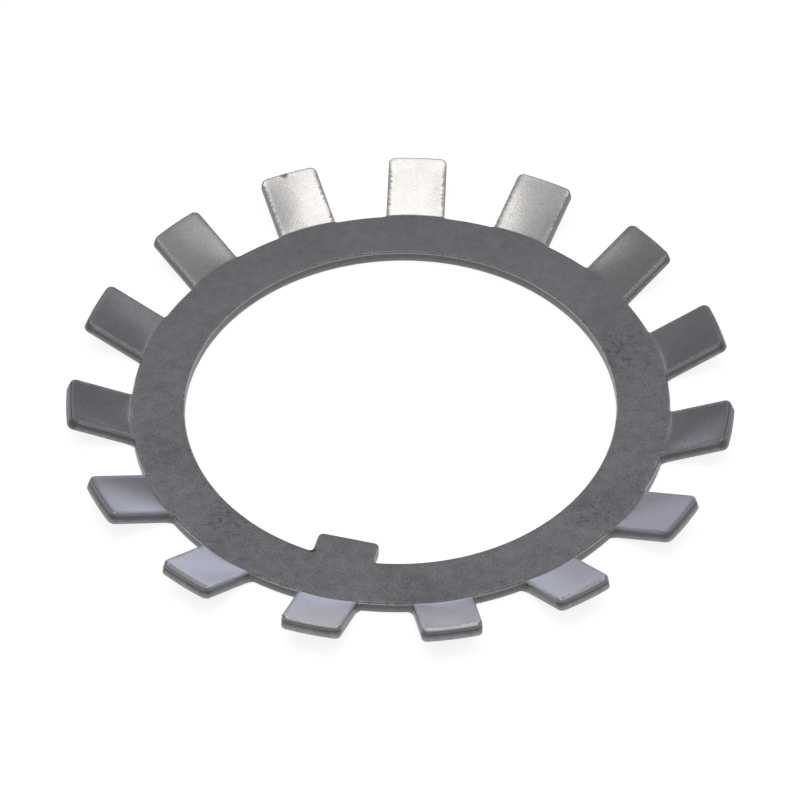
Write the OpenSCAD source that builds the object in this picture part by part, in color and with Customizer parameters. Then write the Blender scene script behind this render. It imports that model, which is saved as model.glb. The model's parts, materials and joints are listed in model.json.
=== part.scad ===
// Bearing lock washer, pressed from one piece of steel sheet.
// A flat ring carries a row of outer tabs, all bent up by the same angle, and one flat inner tab.
// The inner tab keys the washer to a grooved shaft.
// One outer tab is later folded into a slot of the shaft's nut.
// The ring's underside lies on z = 0, the bore runs along z, and the inner tab stands at the bore's -y side.

/* [Ring] */
// Diameter of the bore
bore_d = 40; // [24:0.5:80]
// Radial width of the flat ring, from the bore to the bend of the tabs
ring_w = 5; // [3:0.1:9]
// Thickness of the sheet
sheet_t = 1.25; // [0.9:0.05:2]

/* [Outer tabs] */
// Number of tabs, evenly spaced
tab_count = 15; // [9:1:17]
// Width of a tab
tab_w = 5.55; // [3.5:0.05:7]
// How far the bent tabs reach past the ring, measured along the radius
tab_reach = 6; // [4:0.1:9]
// Angle that the tabs are bent up by
tab_bend = 25.5; // [15:0.5:40]
// Inside radius of the bend
bend_r = 0.5; // [0.3:0.05:1]
// Corner radius at a tab's tip
tip_r = 0.65; // [0.3:0.05:1.2]
// Fillet radius at a tab's root
root_r = 0.5; // [0.2:0.05:0.7]

/* [Inner tab] */
// Width of the inner tab
key_w = 5.7; // [3.5:0.1:8]
// How far the inner tab reaches into the bore
key_reach = 2.5; // [1.5:0.1:4]
// Corner radius at the inner tab's tip
key_tip_r = 0.5; // [0.3:0.05:1]
// Fillet radius at the inner tab's root
key_root_r = 0.3; // [0.2:0.05:0.6]

/* [Pressed edges] */
// Width of the rolled top edge around the outline
edge_roll_w = 0.5; // [0.3:0.05:0.7]
// Depth of the rolled top edge around the outline
edge_roll_h = 0.16; // [0.1:0.01:0.4]
// Width of the rolled top edge around the bore and the inner tab
bore_roll_w = 0.3; // [0.15:0.05:0.5]
// Depth of the rolled top edge around the bore and the inner tab
bore_roll_h = 0.1; // [0.05:0.01:0.3]

/* [Hidden] */
$fn = 96;

steel = [0.38, 0.38, 0.40];

bore_r = bore_d / 2;
ring_r = bore_r + ring_w;
ring_mid_r = (bore_r + ring_r) / 2;
tab_pitch = 360 / tab_count;

// The top faces of the ring and of a tab would meet at ring_r if the bend were sharp.
fold_r = ring_r - bend_r * tan(tab_bend / 2);
fold_height = sheet_t + bend_r;

// Length of a tab's straight leaf, from the end of the bend to its tip.
leaf_len = (ring_r + tab_reach - fold_r - fold_height * sin(tab_bend)) / cos(tab_bend);

// Cutting shapes reach this far past the sheet.
clear = 2;
// Added shapes reach this far into the sheet that carries them.
sink = 0.3;
// Round cuts reach this far past the faces that they blend, so that they cross them and don't graze them.
bite = 0.01;
// Root fillets stay this far below the rolled edges that they join.
ledge = 0.05;

// What a press rolls off a sheet's top corner.
// The corner is at the origin and the sheet at negative x and y.
// The arc runs from (-w, 0) to (0, -h), and leaves the sheet's top at a third of its chord's slope.
module rolled_corner(w, h) {
    chord_slope = atan2(h, w);
    start_slope = chord_slope / 3;
    arc_r = norm([w, h]) / 2 / sin(chord_slope - start_slope);
    arc_centre = [-w - arc_r * sin(start_slope), -arc_r * cos(start_slope)];
    difference() {
        translate([arc_centre.x, -h])
            square([clear - arc_centre.x, h + clear]);
        translate(arc_centre)
            circle(arc_r);
    }
}

// What lies outside a round corner of radius r.
// The corner is at the origin and the material at negative x and y.
module round_corner(r) {
    difference() {
        translate([-r, -r])
            square(r + clear);
        translate([-r, -r])
            circle(r + bite);
    }
}

// A square end of width w on the x axis, seen along the sheet, with its two top edges rolled off.
// Its top lies at y = 0, and it reaches up past that between the rolled edges.
module rolled_end(w, depth, roll_w, roll_h) {
    difference() {
        translate([-w / 2, -depth])
            square([w, depth + clear]);
        for (side = [0, 1])
            mirror([side, 0])
                translate([w / 2, 0])
                    rolled_corner(roll_w, roll_h);
    }
}

// Section of the bent sheet in the plane of the radius and z: flat, round the bend and up the leaf.
// The top is lowered by drop.
module bent_section(drop) {
    flat_len = fold_r - ring_mid_r;
    left = sheet_t - drop;
    reach = fold_height + clear;
    translate([fold_r, 0])
        translate([-flat_len, 0])
            square([flat_len, left]);
    translate([fold_r, fold_height]) {
        intersection() {
            difference() {
                circle(fold_height);
                circle(bend_r + drop);
            }
            translate([0, -reach])
                square(reach);
            rotate(tab_bend)
                translate([-reach, -reach])
                    square(reach);
        }
        rotate(tab_bend)
            difference() {
                translate([0, -fold_height])
                    square([leaf_len, left]);
                translate([leaf_len, -bend_r])
                    rolled_corner(edge_roll_w, edge_roll_h);
            }
    }
}

// One pitch of the bent sheet, turned about the bore and centred on the x axis.
module bent_strip(drop = 0) {
    rotate(-tab_pitch / 2)
        rotate_extrude(angle = tab_pitch)
            bent_section(drop);
}

// Places a shape on a tab's leaf: x runs up the leaf from the bend, and z = 0 is the leaf's top.
module on_leaf() {
    translate([fold_r, 0, fold_height])
        rotate([0, -tab_bend, 0])
            translate([0, 0, -bend_r])
                children();
}

// The flat ring, with the rolled edges of its bore and of its outline between the tabs.
module ring() {
    rotate_extrude()
        difference() {
            translate([bore_r, 0])
                square([ring_w, sheet_t]);
            translate([ring_r, sheet_t])
                rolled_corner(edge_roll_w, edge_roll_h);
            translate([bore_r, sheet_t])
                mirror([1, 0])
                    rolled_corner(bore_roll_w, bore_roll_h);
        }
}

// One outer tab on the x axis.
// A conical leaf has its sides cut straight, its top edges rolled and its tip rounded.
module tab() {
    back = ring_w + sheet_t;
    roll_y = tab_w / 2 - edge_roll_w;
    // A cone's top rises sideways from the middle of the tab to where the rolled edge starts.
    crown = roll_y * roll_y * sin(tab_bend) / (2 * ring_r + tab_reach);
    // The tip follows a circle, so it falls back sideways from the middle of the tab to the round corner.
    corner_y = tab_w / 2 - tip_r;
    fall = corner_y * corner_y * cos(tab_bend) / 2 / (ring_r + tab_reach);
    difference() {
        intersection() {
            bent_strip();
            on_leaf()
                translate([-back, 0, crown])
                    rotate([90, 0, 90])
                        linear_extrude(back + leaf_len + clear)
                            rolled_end(tab_w, sheet_t + back, edge_roll_w, edge_roll_h);
        }
        on_leaf()
            translate([0, 0, -sheet_t - clear])
                linear_extrude(sheet_t + 2 * clear)
                    for (side = [0, 1])
                        mirror([0, side])
                            translate([leaf_len - fall, tab_w / 2])
                                round_corner(tip_r);
    }
}

// The two fillets between a tab's sides and the ring's outline.
module tab_root_fillets() {
    centre_y = tab_w / 2 + root_r;
    centre_x = sqrt(pow(ring_r + root_r, 2) - pow(centre_y, 2));
    inner_y = tab_w / 2 - sink;
    inner_r = ring_r - sink;
    intersection() {
        bent_strip(edge_roll_h + ledge);
        translate([0, 0, -clear])
            linear_extrude(2 * clear + sheet_t)
                for (side = [0, 1])
                    mirror([0, side])
                        difference() {
                            polygon([
                                [centre_x, inner_y],
                                [centre_x, centre_y],
                                [centre_x, centre_y] * inner_r / (ring_r + root_r),
                                [sqrt(pow(inner_r, 2) - pow(inner_y, 2)), inner_y]
                            ]);
                            translate([centre_x, centre_y])
                                circle(root_r + bite);
                        }
    }
}

// The flat inner tab at the bore's -y side, from the middle of the ring to its tip inside the bore.
module inner_tab() {
    tip_y = -bore_r + key_reach;
    len = ring_mid_r + tip_y;
    difference() {
        intersection() {
            translate([0, tip_y + clear, sheet_t])
                rotate([90, 0, 0])
                    linear_extrude(len + clear)
                        rolled_end(key_w, sheet_t, bore_roll_w, bore_roll_h);
            translate([-key_w, tip_y - len, sheet_t])
                rotate([90, 0, 90])
                    linear_extrude(2 * key_w)
                        difference() {
                            translate([0, -sheet_t])
                                square([len, sheet_t]);
                            translate([len, 0])
                                rolled_corner(bore_roll_w, bore_roll_h);
                        }
        }
        translate([0, tip_y, -clear])
            linear_extrude(sheet_t + 2 * clear)
                for (side = [0, 1])
                    mirror([side, 0])
                        translate([key_w / 2, 0])
                            round_corner(key_tip_r);
    }
}

// The two fillets between the inner tab's sides and the bore.
module inner_tab_root_fillets() {
    centre_x = key_w / 2 + key_root_r;
    centre_y = -sqrt(pow(bore_r - key_root_r, 2) - pow(centre_x, 2));
    inner_x = key_w / 2 - sink;
    outer_r = bore_r + sink;
    linear_extrude(sheet_t - bore_roll_h - ledge)
        for (side = [0, 1])
            mirror([side, 0])
                difference() {
                    polygon([
                        [inner_x, centre_y],
                        [centre_x, centre_y],
                        [centre_x, centre_y] * outer_r / (bore_r - key_root_r),
                        [inner_x, -sqrt(pow(outer_r, 2) - pow(inner_x, 2))]
                    ]);
                    translate([centre_x, centre_y])
                        circle(key_root_r + bite);
                }
}

// The whole washer. The first outer tab stands in line with the inner one.
module lock_washer() {
    color(steel)
        union() {
            ring();
            inner_tab();
            inner_tab_root_fillets();
            for (i = [0 : tab_count - 1])
                rotate(-90 + i * tab_pitch) {
                    tab();
                    tab_root_fillets();
                }
        }
}

lock_washer();
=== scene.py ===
"""Looks of a bearing lock washer: pressed from steel sheet, barrel-tumbled, lying on a plain pale table."""
import json
import math

import bmesh
import bpy
import numpy as np
from mathutils import Matrix


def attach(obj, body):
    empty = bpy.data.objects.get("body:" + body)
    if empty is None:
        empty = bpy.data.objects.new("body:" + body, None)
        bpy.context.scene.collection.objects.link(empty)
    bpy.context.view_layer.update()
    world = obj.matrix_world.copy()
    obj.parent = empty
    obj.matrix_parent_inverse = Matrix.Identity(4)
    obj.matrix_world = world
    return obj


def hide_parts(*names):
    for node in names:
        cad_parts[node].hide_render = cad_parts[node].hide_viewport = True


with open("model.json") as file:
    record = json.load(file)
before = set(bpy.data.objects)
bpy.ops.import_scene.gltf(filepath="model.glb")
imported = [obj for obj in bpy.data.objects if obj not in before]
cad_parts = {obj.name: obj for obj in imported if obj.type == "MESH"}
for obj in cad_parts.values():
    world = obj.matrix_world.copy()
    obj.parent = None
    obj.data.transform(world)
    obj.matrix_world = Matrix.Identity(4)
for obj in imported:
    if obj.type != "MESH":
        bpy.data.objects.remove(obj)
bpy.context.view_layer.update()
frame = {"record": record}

MM = 0.001
mounts = {mount["name"]: mount for mount in frame["record"]["mounts"]}

# Sizes of the pressing, in millimetres
bore_r = mounts["shaft_bore"]["dims"]["r_mm"]
sheet = mounts["nut_face"]["pos_m"][2] / MM
ring_w = 5.0
tab_count = 15
tab_w = 5.55
tab_reach = 6.0
tab_bend = math.radians(24.8)
bend_r = 0.5
tip_r = 0.65
root_r = 0.5
key_w = 5.7
key_reach = 2.5
key_tip_r = 0.5
key_root_r = 0.3

# How the press rounded the top edges: a shallow pillow, a tight crease and a bevel that steepens to the wall
# Each edge has its pillow's drop, its crease's and its bevel's lengths, and the slopes in degrees at which
# the bevel starts and ends
pillow_w = 0.6
bore_pillow_w = 0.42
ring_edge = (0.012, 0.03, 0.2, 46.0, 78.0)
side_edge = (0.028, 0.012, 0.15, 48.0, 72.0)
tip_edge = (0.012, 0.004, 0.28, 47.0, 78.0)
key_edge = (0.012, 0.02, 0.12, 50.0, 78.0)

# The tips of the tabs within this angle of the camera's side are rolled further
broad_tip_edge = (0.012, 0.004, 0.56, 42.0, 84.0)
broad_tip_reach = math.radians(53.0)

# The share of a bevel's length that it takes up in plan, roughly
bevel_in_plan = 0.7

# The tabs' tops are dished by this much; a lean below 1 moves the deepest place towards the fold
dish = 0.09
dish_lean = 0.8

# The sheared wall: burnished under a short lip, torn and stepped in a little below, with a rounded foot
# The step eases in over as much above the tear's top as below it, and ends a small gap above the foot
lip_h = 0.012
tear_top = 0.42 * sheet
tear_ease = 0.16
tear_inset = 0.03
foot_gap = 0.06
foot_r = 0.16
under_inset = tear_inset + foot_r

# Places along the sheet, measured on its middle before it is bent
ring_r = bore_r + ring_w
half_pitch = math.pi / tab_count
fold_r = ring_r - bend_r * math.tan(tab_bend / 2)
fold_height = sheet + bend_r
fold_mid_r = bend_r + sheet / 2
leaf_start = fold_r + fold_mid_r * tab_bend
leaf_len = (ring_r + tab_reach - fold_r - fold_height * math.sin(tab_bend)) / math.cos(tab_bend)
tip_s = leaf_start + leaf_len

# Grid counts: along a gap, a root fillet, a tab's side, a corner, across a tab and across the ring
GAP, FILLET, SIDE, CORNER, ACROSS, RING = 10, 12, 18, 8, 16, 10
KEY_SIDE = SIDE // 2

# Grid counts down an edge: over the pillow, the crease, the bevel and the foot
PILLOW, CREASE, BEVEL, FOOT = 6, 3, 5, 4

# What the finish reads at each point of the mesh, stored after its place
MARKS = ("roll", "wall", "depth", "run", "leaf", "tip")

# The roll at the start of the pillow, of the crease and of the bevel, and at the bevel's end
roll_stops = (0.0, 0.45, 0.55, 1.0)

# A leaf's mark sets in over its ramp from the fold on, and its tip's mark over its own from its zone on
leaf_ramp = 0.6
tip_zone = 0.8
tip_ramp = 0.3

# Points closer than this are welded, and edges sharper than this angle are shaded as sharp
weld_gap = 1e-4
sharp_angle = math.radians(28)

# The camera: its angles, its distance in metres, the scale at the washer, the picture's width in pixels, and
# how far to the right and up the washer's axis stands in the picture, in millimetres
camera_azimuth = math.radians(15.985)
camera_elevation = math.radians(45.955)
camera_roll = math.radians(-1.03)
camera_distance = 0.536
pixels_per_mm = 10.7717
picture_w = 800
camera_shift = (0.0606, -1.187)

# The way along the table towards the camera, and the way back
front_turn = camera_azimuth - math.pi / 2
front_way = (math.cos(front_turn), math.sin(front_turn), 0.0)
rear_way = tuple(-part for part in front_way)

# The steel's grey, a cooler grey on the front tabs that is a painted reflection of the lavender horizon, and
# the depth of its relief in millimetres
GREY = (0.414, 0.418, 0.438, 1.0)
FRONT_REFLECTION_GREY = (0.43, 0.43, 0.458, 1.0)
relief_depth = 0.01

# Stains on the ring, and nicks at a tab's tip and at the bore, each with a centre and a reach in millimetres
STAINS = (((18.5, 12.0, 1.2), 4.5), ((21.3, -9.0, 1.2), 3.5), ((-11.5, -18.5, 1.2), 3.5))
NICKS = (((-18.2, 24.35, 3.6), 0.6), ((-2.9, -19.75, 1.2), 0.5))

# The table: its size in metres, how far it lies below the washer, its own light and its grey
table_size = 12.0
table_gap = 0.01 * MM
table_glow = 0.8
table_grey = (0.28, 0.28, 0.28, 1.0)

# The room's colours by how far up one looks, away from the camera and on its side
FAR_SKY = ((0.0, (0.7, 0.71, 0.78)), (0.1, (0.73, 0.74, 0.82)), (0.25, (0.75, 0.76, 0.85)),
           (0.37, (0.24, 0.24, 0.245)), (0.48, (0.2, 0.2, 0.205)), (0.72, (0.32, 0.32, 0.325)),
           (1.0, (0.28, 0.28, 0.28)))
NEAR_SKY = ((0.0, (0.8, 0.8, 0.8)), (0.1, (0.7, 0.7, 0.7)), (0.25, (0.3, 0.3, 0.3)),
            (0.4, (0.2, 0.2, 0.2)), (0.8, (0.2, 0.2, 0.2)), (1.0, (0.28, 0.28, 0.28)))


def arc(centre, radius, start, end, count, hollow=False):
    """Points of a circle's arc and the directions out of the metal, inwards where the arc is hollow."""
    turn = np.linspace(start, end, count + 1)
    way = np.stack([np.cos(turn), np.sin(turn)], -1)
    return np.asarray(centre) + radius * way, -way if hollow else way


def line(start, end, way, count):
    """Evenly spaced points of a straight line, all with one direction out of the metal."""
    share = np.linspace(0, 1, count + 1)[:, None]
    points = (1 - share) * np.asarray(start) + share * np.asarray(end)
    return points, np.broadcast_to(np.asarray(way, float), points.shape)


def chain(*runs):
    """Joins runs of points and directions end to end; each starts where the one before it stops."""
    return tuple(np.concatenate([run[k][:-1] for run in runs[:-1]] + [runs[-1][k]]) for k in (0, 1))


def mirrored(run):
    """The same run on the other side of the x axis, walked the other way."""
    return run[0][::-1] * [1, -1], run[1][::-1] * [1, -1]


def outer_outline():
    """Half a gap, one side of a tab and its tip, on the flat blank with the tab along x."""
    side_y = tab_w / 2
    fillet_y = side_y + root_r
    fillet_x = math.sqrt((ring_r + root_r) ** 2 - fillet_y ** 2)
    fillet_turn = math.atan2(fillet_y, fillet_x)
    corner_y = side_y - tip_r
    corner_x = math.sqrt((tip_s - tip_r) ** 2 - corner_y ** 2)
    corner_turn = math.atan2(corner_y, corner_x)
    gap = arc((0, 0), ring_r, -half_pitch, -fillet_turn, GAP)
    side = chain(
        arc((fillet_x, -fillet_y), root_r, math.pi - fillet_turn, math.pi / 2, FILLET, hollow=True),
        line((fillet_x, -side_y), (corner_x, -side_y), (0, -1), SIDE),
        arc((corner_x, -corner_y), tip_r, -math.pi / 2, -corner_turn, CORNER))
    tip_y = np.linspace(-1, 1, ACROSS + 1) * math.sin(corner_turn)
    tip_way = np.stack([np.sqrt(1 - tip_y ** 2), tip_y], -1)
    return gap, side, (tip_s * tip_way, tip_way)


def inner_outline():
    """Half a pitch of the bore, one side of the inner tab and its tip, with that tab on the x axis."""
    side_y = key_w / 2
    fillet_y = side_y + key_root_r
    fillet_x = math.sqrt((bore_r - key_root_r) ** 2 - fillet_y ** 2)
    fillet_turn = math.atan2(fillet_y, fillet_x)
    tip_x = bore_r - key_reach
    corner = (tip_x + key_tip_r, -side_y + key_tip_r)
    gap = arc((0, 0), bore_r, -half_pitch, -fillet_turn, GAP, hollow=True)
    side = chain(
        arc((fillet_x, -fillet_y), key_root_r, -fillet_turn, math.pi / 2, FILLET, hollow=True),
        line((fillet_x, -side_y), (corner[0], -side_y), (0, -1), KEY_SIDE),
        arc(corner, key_tip_r, -math.pi / 2, -math.pi, CORNER))
    tip = line((tip_x, corner[1]), (tip_x, -corner[1]), (-1, 0), ACROSS)
    return gap, side, tip


def edge_profile(pillow, edge):
    """How far inside the outline and how high the edge runs, from the top face round to the underside.

    Each outline point has its own numbers. The top sinks as a shallow parabola over the pillow, turns
    over the crease, steepens down the bevel, slowly at first, falls as the sheared wall, steps in where the
    metal tore, and rounds off at the foot.
    """
    drop, crease, length, slope, end_slope = edge.T[..., None]
    sag = np.degrees(np.arctan(2 * drop / (pillow - bevel_in_plan * length)))
    crease_share = (np.arange(CREASE) + 0.5) / CREASE
    bevel_share = (np.arange(BEVEL) + 0.5) / BEVEL
    slopes = np.radians(np.concatenate([sag + (slope - sag) * crease_share,
                                        slope + (end_slope - slope) * bevel_share ** 2], 1))
    steps = np.repeat(np.concatenate([crease / CREASE, length / BEVEL], 1), (CREASE, BEVEL), 1)
    none = np.zeros_like(length)
    across = np.concatenate([none, np.cumsum(steps * np.cos(slopes), 1)], 1)
    down = np.concatenate([none, np.cumsum(steps * np.sin(slopes), 1)], 1)
    bevelled = [across[:, -1:] - across, sheet - drop - down]
    share = np.linspace(0, 1, PILLOW + 1)[:-1]
    sunk = [pillow + share * (across[:, -1:] - pillow), sheet - drop * share ** 2]
    lip = [none, bevelled[1][:, -1:] - lip_h]
    wall = np.array([[0, tear_top + tear_ease], [tear_inset / 3, tear_top],
                     [tear_inset, tear_top - tear_ease], [tear_inset, foot_r + foot_gap]]).T
    turn = np.linspace(0, math.pi / 2, FOOT + 1)
    foot = [tear_inset + foot_r * (1 - np.cos(turn)), foot_r * (1 - np.sin(turn))]
    parts = [[row + none for row in part] for part in (sunk, bevelled, lip, wall, foot)]
    return tuple(np.concatenate([part[k] for part in parts], 1) for k in (0, 1))


def smooth(share):
    """Smooth step from 0 to 1."""
    share = np.clip(share, 0, 1)
    return share * share * (3 - 2 * share)


def fold(flat, height):
    """Bends the blank: flat inside the fold circle, round the bend, then straight up the leaf.

    A point at distance s from the axis moves to a radius and height on the bent section; its y stays
    and its x follows the circle of that radius. The bend fades out across the root fillets. A leaf's
    top is dished: a parabola across its width times half a sine wave from its fold to its tip.
    """
    s = np.hypot(flat[..., 0], flat[..., 1])
    y = flat[..., 1]
    fillet_start = ring_r * (tab_w / 2 + root_r) / (ring_r + root_r)
    bent = smooth((fillet_start - np.abs(y)) / (fillet_start - tab_w / 2))
    along = np.clip((s - fold_r) / (tip_s - fold_r), 0, 1)
    hollow = np.clip(1 - (2 * y / tab_w) ** 2, 0, 1) * np.sin(math.pi * along ** dish_lean)
    height = height - dish * hollow * (height / sheet) ** 2
    turn = np.clip((s - fold_r) / fold_mid_r, 0, tab_bend) * bent
    past = np.clip(s - leaf_start, 0, None) * bent
    unbent = np.clip(s - fold_r, 0, None) * (1 - bent)
    from_pivot = fold_height - height
    r = np.minimum(s, fold_r) + from_pivot * np.sin(turn) + past * math.cos(tab_bend) + unbent
    z = fold_height - from_pivot * np.cos(turn) + past * math.sin(tab_bend)
    return np.stack([np.sqrt(r * r - y * y), y, z], -1)


def patch(flat, height, roll=0.0, wall=0.0, run=0.0):
    """One patch of sheet: formed points, then their marks."""
    shape = flat.shape[:2]
    height = np.broadcast_to(height, shape)
    s = np.hypot(flat[..., 0], flat[..., 1])
    depth = 1 - height / sheet
    leaf = np.clip((s - fold_r) / leaf_ramp, 0, 1)
    tip = np.clip((s - tip_s + tip_zone) / tip_ramp, 0, 1)
    marks = [np.broadcast_to(mark, shape) for mark in (roll, wall, depth, run, leaf, tip)]
    return np.concatenate([fold(flat, height), np.stack(marks, -1)], -1)


def edge_band(outline, pillow, edge):
    """Carries the edge profile along an outline of the blank."""
    points, ways = outline
    inset, height = edge_profile(pillow, edge)
    flat = points[:, None] - inset[..., None] * ways[:, None]
    steps = np.linalg.norm(np.diff(points, axis=0), axis=1)
    run = np.concatenate([[0], np.cumsum(steps)])[:, None]
    rank = np.arange(inset.shape[1])
    rank_stops = np.cumsum([0, PILLOW, CREASE, BEVEL])
    roll = np.interp(rank, rank_stops, roll_stops)
    wall = (rank > rank_stops[-1]) & (height > 0)
    return patch(flat, height, roll, wall.astype(float), run)


def edge_along(gap, side, tip, side_count):
    """Edge numbers along a whole outline: even along the gap, easing over the fillet and the corner."""
    half = np.concatenate([np.tile(gap, (GAP, 1)), np.linspace(gap, side, FILLET + 1)[:-1],
                           np.tile(side, (side_count, 1)), np.linspace(side, tip, CORNER + 1)[:-1]])
    return np.concatenate([half, np.tile(tip, (ACROSS + 1, 1)), half[::-1]])


def across_tab(side, inset, bulge_r=None):
    """Rows across a tab between its two sides, each an arc about the axis or flattening towards the tip."""
    edge = side[0] - inset * side[1]
    half = np.abs(edge[:, 1:])
    y = half * np.linspace(-1, 1, ACROSS + 1)
    if bulge_r is None:
        x = np.sqrt((edge ** 2).sum(1, keepdims=True) - y ** 2)
    else:
        left = (edge[:, :1] - edge[-1, 0]) / (edge[0, 0] - edge[-1, 0])
        x = edge[:, :1] + left * (np.sqrt(bulge_r ** 2 - y ** 2) - np.sqrt(bulge_r ** 2 - half ** 2))
    return np.stack([x, y], -1)


def turns_of(gap, root):
    """Angles of a half gap, a tab's root row and the other half gap, as the ring's columns."""
    gap_turn = np.arctan2(gap[0][:, 1], gap[0][:, 0])
    root_turn = np.arctan2(root[:, 1], root[:, 0])
    return np.concatenate([gap_turn[:-1], root_turn, -gap_turn[::-1][1:]])


def washer_patches():
    """Every patch of one pitch, with the turns about the axis at which it is repeated."""
    turns = -math.pi / 2 + 2 * half_pitch * np.arange(tab_count)
    plain, keyed = turns[1:], turns[:1]
    gap, side, tip = outer_outline()
    key_gap, key_side, key_tip = inner_outline()
    outer = chain(gap, side, tip, mirrored(side), mirrored(gap))
    key = chain(key_gap, key_side, key_tip, mirrored(key_side), mirrored(key_gap))
    key_edges = edge_along(ring_edge, key_edge, key_edge, KEY_SIDE)
    patches = [(edge_band(key, bore_pillow_w, key_edges), keyed)]
    at_front = np.cos(turns - front_turn) > math.cos(broad_tip_reach)
    for places, edge in ((turns[at_front], broad_tip_edge), (turns[~at_front], tip_edge)):
        patches.append((edge_band(outer, pillow_w, edge_along(ring_edge, side_edge, edge, SIDE)), places))
    share = np.linspace(0, 1, RING + 1)[:, None]
    for top, height, inset, key_inset in ((True, sheet, pillow_w, bore_pillow_w),
                                          (False, 0.0, under_inset, under_inset)):
        tab_rows = across_tab(side, inset)
        key_rows = across_tab(key_side, key_inset, bore_r + key_inset)
        outer_turns = turns_of(gap, tab_rows[0])
        radius = (1 - share) * (ring_r - inset) + share * (bore_r + key_inset)
        for inner_turns, places in ((outer_turns, plain), (turns_of(key_gap, key_rows[0]), keyed)):
            turn = (1 - share) * outer_turns + share * inner_turns
            ring_rows = np.stack([radius * np.cos(turn), radius * np.sin(turn)], -1)
            patches.append((patch(ring_rows, height), places))
        patches += [(patch(tab_rows, height), turns), (patch(key_rows, height), keyed)]
        if top:
            way = -np.stack([np.cos(outer_turns), np.sin(outer_turns)], -1)
            bore_edges = np.tile(ring_edge, (len(way), 1))
            patches.append((edge_band((-bore_r * way, way), bore_pillow_w, bore_edges), plain))
    return patches


def washer_mesh():
    """Repeats the patches round the axis and welds them into one closed sheet."""
    points, quads, count = [], [], 0
    run_column = 3 + MARKS.index("run")
    for grid, turns in washer_patches():
        rows, columns = grid.shape[:2]
        index = np.arange(rows * columns).reshape(rows, columns)
        faces = np.stack([index[:-1, :-1], index[1:, :-1], index[1:, 1:], index[:-1, 1:]], -1).reshape(-1, 4)
        flat = grid.reshape(-1, grid.shape[2])
        cos, sin = np.cos(turns)[:, None], np.sin(turns)[:, None]
        placed = np.broadcast_to(flat, (len(turns), *flat.shape)).copy()
        placed[..., 0] = cos * flat[:, 0] - sin * flat[:, 1]
        placed[..., 1] = sin * flat[:, 0] + cos * flat[:, 1]
        placed[..., run_column] += turns[:, None] * ring_r
        starts = count + len(flat) * np.arange(len(turns))
        quads.append((faces + starts[:, None, None]).reshape(-1, 4))
        points.append(placed.reshape(-1, flat.shape[1]))
        count += len(flat) * len(turns)
    points = np.concatenate(points)
    mesh = bpy.data.meshes.new("washer_sheet")
    mesh.from_pydata((points[:, :3] * MM).tolist(), [], np.concatenate(quads).tolist())
    for name, values in zip(MARKS, points[:, 3:].T):
        mesh.attributes.new(name, "FLOAT", "POINT").data.foreach_set("value", values.astype(np.float32))
    shell = bmesh.new()
    shell.from_mesh(mesh)
    bmesh.ops.remove_doubles(shell, verts=shell.verts, dist=weld_gap * MM)
    bmesh.ops.recalc_face_normals(shell, faces=shell.faces)
    shell.to_mesh(mesh)
    shell.free()
    mesh.shade_smooth()
    mesh.set_sharp_from_angle(angle=sharp_angle)
    return mesh


def put(tree, kind, settings=None, inputs=None):
    """Adds a shader node; an input is a constant, or a socket that is linked to it."""
    made = tree.nodes.new("ShaderNode" + kind)
    for name, value in (settings or {}).items():
        setattr(made, name, value)
    for name, value in (inputs or {}).items():
        if isinstance(value, bpy.types.NodeSocket):
            tree.links.new(value, made.inputs[name])
        else:
            made.inputs[name].default_value = value
    return made


def maths(tree, operation, first, second):
    """The result of an operation on two values or sockets."""
    return put(tree, "Math", {"operation": operation}, {0: first, 1: second}).outputs[0]


def times(tree, first, second):
    """The product of two values or sockets."""
    return maths(tree, "MULTIPLY", first, second)


def mix(tree, factor, low, high):
    """Mixes two values or sockets."""
    return put(tree, "Mix", {"data_type": "FLOAT"}, {0: factor, 2: low, 3: high}).outputs[0]


def mix_colours(tree, factor, low, high):
    """Mixes two colours or sockets of colours."""
    return put(tree, "Mix", {"data_type": "RGBA"}, {0: factor, 6: low, 7: high}).outputs[2]


def shade(tree, tone, mask, level):
    """A tone that is multiplied by a level where a mask is 1."""
    return times(tree, tone, mix(tree, mask, 1.0, level))


def fade(tree, value, start, end, low=0.0, high=1.0):
    """A smooth step of a value: low up to start, high from end on."""
    inputs = {"Value": value, "From Min": start, "From Max": end, "To Min": low, "To Max": high}
    return put(tree, "MapRange", {"interpolation_type": "SMOOTHSTEP"}, inputs).outputs[0]


def noise(tree, place, scale, detail=2.0, roughness=0.5):
    """Noise between 0 and 1 at a place."""
    inputs = {"Vector": place, "Scale": scale, "Detail": detail, "Roughness": roughness}
    return put(tree, "TexNoise", None, inputs).outputs[0]


def scaled(tree, vector, factor):
    """A vector or colour times a value or socket."""
    return put(tree, "VectorMath", {"operation": "SCALE"}, {0: vector, "Scale": factor}).outputs[0]


def stretched(tree, place, factors):
    """A place with each of its coordinates times a factor of its own."""
    return put(tree, "VectorMath", {"operation": "MULTIPLY"}, {0: place, 1: factors}).outputs[0]


def along_way(tree, place, way):
    """How far a place lies along a direction."""
    return put(tree, "VectorMath", {"operation": "DOT_PRODUCT"}, {0: place, 1: way}).outputs["Value"]


def near_to(tree, place, centre, reach):
    """How near a place is to a centre: 1 there, 0 from the reach on."""
    gap = put(tree, "VectorMath", {"operation": "DISTANCE"}, {0: place, 1: centre}).outputs["Value"]
    return maths(tree, "SUBTRACT", 1.0, maths(tree, "DIVIDE", gap, reach))


def link_all(tree, inputs, sockets):
    """Links each socket to the input of its name."""
    for name, socket in sockets.items():
        tree.links.new(socket, inputs[name])


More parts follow.
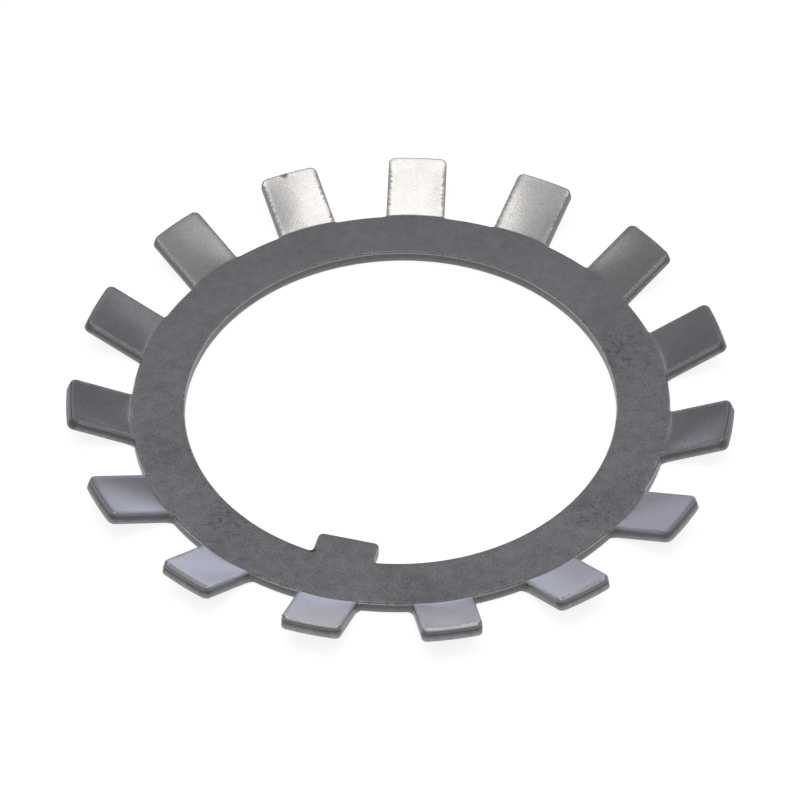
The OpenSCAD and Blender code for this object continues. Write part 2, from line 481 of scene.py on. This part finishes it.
def node_group(name, sockets_in, numbers_out):
    """An empty shader group; returns its tree, the sockets it is given and those it gives out."""
    tree = bpy.data.node_groups.new(name, "ShaderNodeTree")
    for socket, kind in sockets_in.items():
        tree.interface.new_socket(socket, in_out="INPUT", socket_type="NodeSocket" + kind)
    for socket in numbers_out:
        tree.interface.new_socket(socket, in_out="OUTPUT", socket_type="NodeSocketFloat")
    return tree, tree.nodes.new("NodeGroupInput").outputs, tree.nodes.new("NodeGroupOutput").inputs


def use(tree, group, **inputs):
    """Places a group in a tree with its inputs set or linked, and returns its outputs."""
    return put(tree, "Group", {"node_tree": group}, inputs).outputs


def tumbled_skin():
    """Grain that barrel tumbling leaves: a fine mottle, small dark pits and a slow waviness."""
    tree, given, out = node_group("tumbled skin", {"Place": "Vector"}, ("Tone", "Pits", "Height"))
    place = given["Place"]
    fine = noise(tree, place, 6.5, 2.0, 0.55)
    broad = noise(tree, place, 1.0, 4.0, 0.65)
    slow = noise(tree, place, 0.16)
    tone = maths(tree, "ADD", times(tree, fine, 0.5), times(tree, broad, 0.3))
    tone = maths(tree, "ADD", tone, times(tree, slow, 0.2))
    cells = put(tree, "TexVoronoi", None, {"Vector": place, "Scale": 2.1})
    lot = put(tree, "SeparateColor", None, {"Color": cells.outputs["Color"]}).outputs[0]
    rare = fade(tree, lot, 0.62, 0.75)
    pits = times(tree, fade(tree, cells.outputs["Distance"], 0.24, 0.08), rare)
    height = maths(tree, "SUBTRACT", fine, times(tree, pits, 0.6))
    height = maths(tree, "ADD", height, times(tree, noise(tree, place, 0.45, 1.0), 1.5))
    link_all(tree, out, {"Tone": tone, "Pits": pits, "Height": height})
    return tree


def smudge():
    """A cluster of dark stains about a centre, broken up by the grain."""
    tree, given, out = node_group("smudge", {"Place": "Vector", "Centre": "Vector", "Reach": "Float"},
                                  ("Mask",))
    near = near_to(tree, given["Place"], given["Centre"], given["Reach"])
    blots = fade(tree, noise(tree, given["Place"], 1.7, 4.0, 0.7), 0.5, 0.64)
    link_all(tree, out, {"Mask": times(tree, fade(tree, near, 0.0, 0.8), blots)})
    return tree


def edge_wear_and_glints():
    """Marks along an edge: a border frayed into dashes of wear, the bevel, the crease, and the dashes where
    painted glints go along it.
    """
    tree, given, out = node_group("edge wear and glints", {"Run": "Float", "Roll": "Float"},
                                  ("Border", "Bevel", "Crease", "Glint"))
    roll = given["Roll"]
    along = put(tree, "CombineXYZ", None, {"X": given["Run"], "Y": roll}).outputs[0]
    grain = noise(tree, stretched(tree, along, (3.6, 1.0, 1.0)), 1.0, 4.0, 0.7)
    frayed = maths(tree, "ADD", roll, times(tree, maths(tree, "SUBTRACT", grain, 0.5), 0.9))
    border = times(tree, fade(tree, frayed, 0.12, 0.45), fade(tree, roll, 0.0, 0.1))
    bevel = fade(tree, roll, 0.5, 0.6)
    crease = times(tree, fade(tree, roll, 0.38, 0.47), fade(tree, roll, 0.64, 0.55))
    glint = fade(tree, noise(tree, along, 4.5), 0.45, 0.62)
    link_all(tree, out, {"Border": border, "Bevel": bevel, "Crease": crease, "Glint": glint})
    return tree


def sheared_wall():
    """The cut edge: burnished above and ever more torn towards its foot, streaked down the wall."""
    tree, given, out = node_group("sheared wall", {"Run": "Float", "Depth": "Float"}, ("Torn", "Streak"))
    depth = given["Depth"]
    along = put(tree, "CombineXYZ", None, {"X": given["Run"], "Y": depth}).outputs[0]
    along = stretched(tree, along, (3.4, 2.8, 1.0))
    streak = noise(tree, along, 1.0, 3.0, 0.7)
    ragged = times(tree, maths(tree, "SUBTRACT", noise(tree, along, 0.35), 0.5), 0.25)
    torn = fade(tree, maths(tree, "ADD", depth, ragged), 0.4, 1.0)
    link_all(tree, out, {"Torn": torn, "Streak": streak})
    return tree


def spots(tree, place):
    """Masks of all the stains and of all the nicks."""
    stain_group = smudge()
    stains, nicks = 0.0, 0.0
    for centre, reach in STAINS:
        stain = use(tree, stain_group, Place=place, Centre=centre, Reach=reach)["Mask"]
        stains = maths(tree, "MAXIMUM", stain, stains)
    for centre, reach in NICKS:
        nick = fade(tree, near_to(tree, place, centre, reach), 0.1, 0.6)
        nicks = maths(tree, "MAXIMUM", nick, nicks)
    return stains, nicks


def tumbled_steel():
    """Bare sheet steel, tumbled to a satin grey, with scuffed edges and sheared walls; it carries painted
    shade on its walls, bevels and tab borders, painted glints on its creases and a painted reflection tint
    on its front tabs.
    """
    material = bpy.data.materials.new("tumbled steel")
    material.use_nodes = True
    tree = material.node_tree
    metal = tree.nodes["Principled BSDF"]
    place = scaled(tree, put(tree, "TexCoord").outputs["Object"], 1 / MM)
    roll, wall, depth, run, leaf, tip = [
        put(tree, "Attribute", {"attribute_name": name}).outputs["Fac"] for name in MARKS]
    skin = use(tree, tumbled_skin(), Place=place)
    edge_marks = use(tree, edge_wear_and_glints(), Run=run, Roll=roll)
    cut = use(tree, sheared_wall(), Run=run, Depth=depth)
    stains, nicks = spots(tree, place)
    rear = along_way(tree, place, rear_way)
    front = fade(tree, rear, -5.0, -13.0)
    border = times(tree, edge_marks["Border"], mix(tree, tip, 1.0, 0.25))

    # Tone of the faces: mottled, pitted, stained and nicked, with the mottle fainter on the leaves
    mottle = fade(tree, skin["Tone"], 0.35, 0.65, 0.62, 1.36)
    mottle = shade(tree, mottle, skin["Pits"], 0.6)
    grain = mix(tree, leaf, fade(tree, rear, -4.0, 18.0, 0.85, 0.52), mix(tree, front, 0.27, 0.1))
    tone = mix(tree, grain, 1.0, mottle)
    tone = shade(tree, tone, stains, 0.62)
    tone = shade(tree, tone, nicks, 0.3)

    # Tone of the edges: the leaves' frayed borders get painted shade on the rear tabs and a slight painted
    # lightening on the side ones, the bevels get painted shade, and the creases get painted glints
    border_light_and_shade = mix(tree, front, fade(tree, rear, 17.0, 23.0, 1.08, 0.74), 0.95)
    tone = shade(tree, tone, times(tree, border, leaf), border_light_and_shade)
    # Painted shade on the bevels: slight everywhere, deepest at the tips away from the camera
    bevel_shade = mix(tree, tip, 0.95, mix(tree, front, 0.5, 0.95))
    tone = shade(tree, tone, edge_marks["Bevel"], bevel_shade)
    # Painted glints: the crease is brightened in dashes as if it caught the lamp, and darkened between them
    painted_glint_tone = mix(tree, edge_marks["Glint"], mix(tree, leaf, 0.5, 0.8), mix(tree, leaf, 1.2, 1.6))
    tone = shade(tree, tone, edge_marks["Crease"], painted_glint_tone)

    # Tone of the cut walls: paler where they are torn; the whole wall is darkened as painted shade, the
    # burnished band the most, and further at the tips away from the camera
    cut_tone = mix(tree, cut["Torn"], mix(tree, leaf, 0.3, 0.21), mix(tree, leaf, 0.7, 0.95))
    cut_tone = times(tree, cut_tone, fade(tree, cut["Streak"], 0.3, 0.7, 0.87, 1.13))
    cut_tone = shade(tree, cut_tone, tip, mix(tree, front, 0.6, 1.0))
    tone = mix(tree, wall, tone, cut_tone)
    # The front tabs' cooler grey is a painted reflection of the lavender horizon; the steel itself is one
    # grey
    steel = mix_colours(tree, times(tree, front, leaf), GREY, FRONT_REFLECTION_GREY)

    # Roughness of the faces, then of the borders, the bevels and the walls
    rough = mix(tree, leaf, fade(tree, skin["Tone"], 0.3, 0.7, 0.28, 0.24), 0.21)
    rough = mix(tree, border, rough, mix(tree, leaf, 0.3, 0.45))
    rough = mix(tree, edge_marks["Bevel"], rough, mix(tree, leaf, 0.45, mix(tree, tip, 0.3, 0.42)))
    rough = mix(tree, wall, rough, mix(tree, cut["Torn"], 0.36, 0.5))

    # Relief: the grain of the faces, flatter on the leaves, and the streaks of the walls
    relief = mix(tree, leaf, 0.8, mix(tree, front, 0.65, 0.25))
    height = mix(tree, wall, times(tree, skin["Height"], relief), cut["Streak"])
    bump = put(tree, "Bump", None, {"Height": height, "Strength": 1.0, "Distance": relief_depth * MM})

    link_all(tree, metal.inputs, {
        "Base Color": scaled(tree, steel, tone),
        "Metallic": mix(tree, wall, 1.0, 0.3),
        "Roughness": rough,
        "Normal": bump.outputs[0]})
    return material


def pale_table():
    """White table: part of its light is reflected, so that it keeps a shadow, and the rest is its own."""
    material = bpy.data.materials.new("pale table")
    material.use_nodes = True
    tree = material.node_tree
    tree.nodes.remove(tree.nodes["Principled BSDF"])
    ray = put(tree, "LightPath").outputs
    seen = maths(tree, "ADD", maths(tree, "ADD", ray["Is Camera Ray"], ray["Is Glossy Ray"]),
                 ray["Is Transmission Ray"])
    own = put(tree, "Emission", None, {"Strength": times(tree, seen, table_glow)})
    matt = put(tree, "BsdfDiffuse", None, {"Color": table_grey})
    both = put(tree, "AddShader", None, {0: own.outputs[0], 1: matt.outputs[0]})
    tree.links.new(both.outputs[0], tree.nodes["Material Output"].inputs["Surface"])
    return material


def ramp_of(tree, value, stops):
    """Colours of a value, between pairs of position and colour."""
    ramp = put(tree, "ValToRGB", None, {"Fac": value})
    marks = ramp.color_ramp.elements
    while len(marks) < len(stops):
        marks.new(1.0)
    for mark, (position, colour) in zip(marks, stops):
        mark.position = position
        mark.color = (*colour, 1.0)
    return ramp.outputs[0]


def studio_sky():
    """A pale horizon and a grey room above it, darker on the camera's side."""
    world = bpy.data.worlds.new("studio")
    bpy.context.scene.world = world
    world.use_nodes = True
    tree = world.node_tree
    way = put(tree, "TexCoord").outputs["Generated"]
    up = put(tree, "SeparateXYZ", None, {0: way}).outputs["Z"]
    side = fade(tree, along_way(tree, way, front_way), -0.1, 0.25)
    both = mix_colours(tree, side, ramp_of(tree, up, FAR_SKY), ramp_of(tree, up, NEAR_SKY))
    tree.links.new(both, tree.nodes["Background"].inputs["Color"])


def view_axes(azimuth, elevation, roll=0.0):
    """Right, up and back axes of a camera as the columns of a matrix."""
    back = np.array([math.sin(azimuth) * math.cos(elevation), -math.cos(azimuth) * math.cos(elevation),
                     math.sin(elevation)])
    right = np.array([math.cos(azimuth), math.sin(azimuth), 0.0])
    up = np.cross(back, right)
    return np.stack([right * math.cos(roll) + up * math.sin(roll),
                     up * math.cos(roll) - right * math.sin(roll), back], -1)


def stand(holder, axes, place):
    """Stands a lamp or a camera at a place that is counted along its own axes, in metres."""
    bpy.context.scene.collection.objects.link(holder)
    holder.matrix_world = Matrix.Translation(axes @ np.array(place)) @ Matrix(axes.tolist()).to_4x4()


def soft_box(name, azimuth, elevation, distance, size, radiance, colour=(1.0, 1.0, 1.0), shift=0.0):
    """A flat lamp that faces the part, shifted along its width; its azimuth counts from the camera's."""
    lamp = bpy.data.lights.new(name, "AREA")
    lamp.shape = "RECTANGLE"
    lamp.size, lamp.size_y = size
    lamp.energy = radiance * math.pi * lamp.size * lamp.size_y
    lamp.color = colour
    holder = bpy.data.objects.new(name, lamp)
    holder.visible_camera = False
    axes = view_axes(camera_azimuth + math.radians(azimuth), math.radians(elevation))
    stand(holder, axes, (shift, 0.0, distance))
    return holder


def set_camera():
    """Aims the camera past the washer's axis by the camera's shifts."""
    data = bpy.data.cameras.new("camera")
    data.sensor_width = 36.0
    data.lens = data.sensor_width * pixels_per_mm * camera_distance / MM / picture_w
    data.clip_start = 0.01
    camera = bpy.data.objects.new("camera", data)
    axes = view_axes(camera_azimuth, camera_elevation, camera_roll)
    stand(camera, axes, (-camera_shift[0] * MM, -camera_shift[1] * MM, camera_distance))
    bpy.context.scene.camera = camera


# The washer, in place of the plain solid
washer = bpy.data.objects.new("washer_sheet", washer_mesh())
bpy.context.scene.collection.objects.link(washer)
washer.data.materials.append(tumbled_steel())
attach(washer, "root")
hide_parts("lock_washer")

# The table, the lamps and the camera
bpy.ops.mesh.primitive_plane_add(size=table_size, location=(0, 0, -table_gap))
table = bpy.context.object
table.name = "table"
table.data.materials.append(pale_table())
studio_sky()
soft_box("strip lamp", azimuth=0, elevation=91, distance=1.0, size=(0.51, 0.48), radiance=1.75,
         colour=(1.0, 0.955, 0.865), shift=0.018)
soft_box("strip glow", azimuth=0, elevation=90, distance=1.02, size=(1.92, 0.44), radiance=0.62,
         colour=(1.0, 0.965, 0.9))
soft_box("backdrop lamp", azimuth=172, elevation=4, distance=1.5, size=(0.9, 0.42), radiance=0.5,
         colour=(0.76, 0.78, 1.0))
for name, azimuth in (("left panel", 204), ("right panel", 156)):
    soft_box(name, azimuth, elevation=41, distance=1.5, size=(0.36, 0.5), radiance=0.4)
soft_box("side panel", azimuth=128, elevation=52, distance=1.5, size=(0.5, 0.3), radiance=0.22)
table_lamp = soft_box("table lamp", azimuth=0, elevation=80, distance=1.5, size=(2.0, 2.0), radiance=1.4)
table_lamp.visible_glossy = False
set_camera()
bpy.context.scene.view_settings.view_transform = "Standard"
